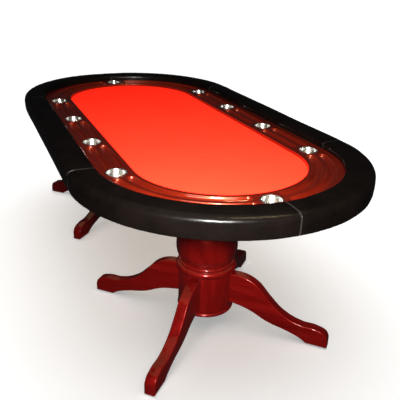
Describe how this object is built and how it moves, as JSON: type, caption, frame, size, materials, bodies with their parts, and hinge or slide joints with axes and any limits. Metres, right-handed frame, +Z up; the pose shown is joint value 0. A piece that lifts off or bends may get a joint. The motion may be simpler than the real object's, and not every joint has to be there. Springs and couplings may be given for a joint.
{
  "type": "poker table",
  "caption": "Full-size poker table with a black padded rail, red felt, a mahogany racetrack with steel cup holders and chip grooves, on two turned pedestals",
  "frame": {"origin": "on the floor under the centre of the table top", "axes": "+X along the table's long axis, +Y across it, +Z up"},
  "size_m": [2.4384, 1.2192, 0.762],
  "materials": {
    "black_vinyl": "satin black vinyl stretched over foam, with stitched seams",
    "red_felt": "matt red speed cloth",
    "mahogany_lacquer": "red mahogany stain under glossy lacquer",
    "plywood": "bare plywood",
    "foam": "closed-cell foam sheet",
    "stainless_steel": "drawn stainless steel",
    "zinc_steel": "zinc-plated steel",
    "glide_plastic": "black moulded plastic"
  },
  "bodies": {
    "table": {"pedestal_front_vase": "mahogany_lacquer", "pedestal_front_collar": "mahogany_lacquer", "pedestal_front_drum": "mahogany_lacquer", "pedestal_front_tie_rod": "zinc_steel", "pedestal_front_top_plate": "plywood", "pedestal_front_leg_1": "mahogany_lacquer", "pedestal_front_glide_1": "glide_plastic", "pedestal_front_leg_2": "mahogany_lacquer", "pedestal_front_glide_2": "glide_plastic", "pedestal_front_leg_3": "mahogany_lacquer", "pedestal_front_glide_3": "glide_plastic", "pedestal_front_leg_4": "mahogany_lacquer", "pedestal_front_glide_4": "glide_plastic", "pedestal_back_vase": "mahogany_lacquer", "pedestal_back_collar": "mahogany_lacquer", "pedestal_back_drum": "mahogany_lacquer", "pedestal_back_tie_rod": "zinc_steel", "pedestal_back_top_plate": "plywood", "pedestal_back_leg_1": "mahogany_lacquer", "pedestal_back_glide_1": "glide_plastic", "pedestal_back_leg_2": "mahogany_lacquer", "pedestal_back_glide_2": "glide_plastic", "pedestal_back_leg_3": "mahogany_lacquer", "pedestal_back_glide_3": "glide_plastic", "pedestal_back_leg_4": "mahogany_lacquer", "pedestal_back_glide_4": "glide_plastic", "table_deck": "plywood", "playfield_board": "plywood", "playfield_foam": "foam", "playfield_felt": "red_felt", "racetrack_left": "mahogany_lacquer", "racetrack_right": "mahogany_lacquer", "racetrack_front": "mahogany_lacquer", "racetrack_back": "mahogany_lacquer", "rail_base_left": "plywood", "rail_pad_left": "black_vinyl", "rail_base_right": "plywood", "rail_pad_right": "black_vinyl", "rail_base_front_left": "plywood", "rail_pad_front_left": "black_vinyl", "rail_base_front_right": "plywood", "rail_pad_front_right": "black_vinyl", "rail_base_back_right": "plywood", "rail_pad_back_right": "black_vinyl", "rail_base_back_left": "plywood", "rail_pad_back_left": "black_vinyl"},
    "cup_01": {"cup_holder_01": "stainless_steel"},
    "cup_02": {"cup_holder_02": "stainless_steel"},
    "cup_03": {"cup_holder_03": "stainless_steel"},
    "cup_04": {"cup_holder_04": "stainless_steel"},
    "cup_05": {"cup_holder_05": "stainless_steel"},
    "cup_06": {"cup_holder_06": "stainless_steel"},
    "cup_07": {"cup_holder_07": "stainless_steel"},
    "cup_08": {"cup_holder_08": "stainless_steel"},
    "cup_09": {"cup_holder_09": "stainless_steel"},
    "cup_10": {"cup_holder_10": "stainless_steel"}
  },
  "joints": [
    {"name": "cup_01_lift", "type": "slide", "parent": "table", "child": "cup_01", "axis": [0, 0, 1], "range_m": [0, 0.09]},
    {"name": "cup_02_lift", "type": "slide", "parent": "table", "child": "cup_02", "axis": [0, 0, 1], "range_m": [0, 0.09]},
    {"name": "cup_03_lift", "type": "slide", "parent": "table", "child": "cup_03", "axis": [0, 0, 1], "range_m": [0, 0.09]},
    {"name": "cup_04_lift", "type": "slide", "parent": "table", "child": "cup_04", "axis": [0, 0, 1], "range_m": [0, 0.09]},
    {"name": "cup_05_lift", "type": "slide", "parent": "table", "child": "cup_05", "axis": [0, 0, 1], "range_m": [0, 0.09]},
    {"name": "cup_06_lift", "type": "slide", "parent": "table", "child": "cup_06", "axis": [0, 0, 1], "range_m": [0, 0.09]},
    {"name": "cup_07_lift", "type": "slide", "parent": "table", "child": "cup_07", "axis": [0, 0, 1], "range_m": [0, 0.09]},
    {"name": "cup_08_lift", "type": "slide", "parent": "table", "child": "cup_08", "axis": [0, 0, 1], "range_m": [0, 0.09]},
    {"name": "cup_09_lift", "type": "slide", "parent": "table", "child": "cup_09", "axis": [0, 0, 1], "range_m": [0, 0.09]},
    {"name": "cup_10_lift", "type": "slide", "parent": "table", "child": "cup_10", "axis": [0, 0, 1], "range_m": [0, 0.09]}
  ]
}
